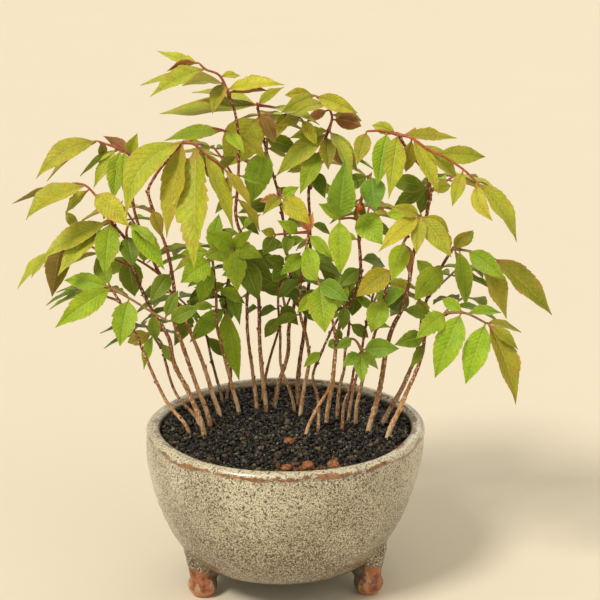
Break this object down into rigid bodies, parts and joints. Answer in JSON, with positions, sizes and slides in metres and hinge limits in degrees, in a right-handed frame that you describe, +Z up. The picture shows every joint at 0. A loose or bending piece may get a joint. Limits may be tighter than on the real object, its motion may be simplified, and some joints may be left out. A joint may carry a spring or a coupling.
{
  "type": "wax tree forest bonsai",
  "caption": "Forest of slender wax-tree seedlings with feathered leaves, growing from black granular soil in a round speckled stoneware bowl that stands on small pinched feet.",
  "frame": {"origin": "on the surface that the feet stand on, below the middle of the whole plant's box, which is a little in front of the bowl's axis", "axes": "+Z up along the bowl's axis, -Y towards the front that the plant is seen from, +X to the viewer's right"},
  "size_m": [0.2053, 0.1277, 0.2082],
  "materials": {
    "bowl": "speckled grey-beige glaze with iron-brown breaks",
    "soil": "loose black granules",
    "clay_grain": "matte baked clay",
    "young_leaf": "yellow-green leaves with red stalks on a brown stem",
    "leaf": "bright green leaves on a brown stem",
    "shaded_leaf": "dark green leaves on a brown stem",
    "stem": "thin brown bark"
  },
  "bodies": {
    "root": {"bowl": "bowl", "soil": "soil", "clay_grain_1": "clay_grain", "clay_grain_2": "clay_grain", "clay_grain_3": "clay_grain", "clay_grain_4": "clay_grain", "tree_01": "leaf", "tree_02": "young_leaf", "tree_03": "young_leaf", "tree_04": "shaded_leaf", "tree_05": "young_leaf", "tree_06": "shaded_leaf", "tree_07": "leaf", "tree_08": "leaf", "tree_09": "leaf", "tree_10": "young_leaf", "tree_11": "shaded_leaf", "tree_12": "young_leaf", "tree_13": "leaf", "tree_14": "young_leaf", "tree_15": "young_leaf", "tree_16": "leaf", "tree_17": "shaded_leaf", "tree_18": "young_leaf", "tree_19": "shaded_leaf", "tree_20": "shaded_leaf", "tree_21": "shaded_leaf", "tree_22": "young_leaf", "tree_23": "young_leaf", "tree_24": "leaf", "tree_25": "shaded_leaf"}
  },
  "joints": []
}
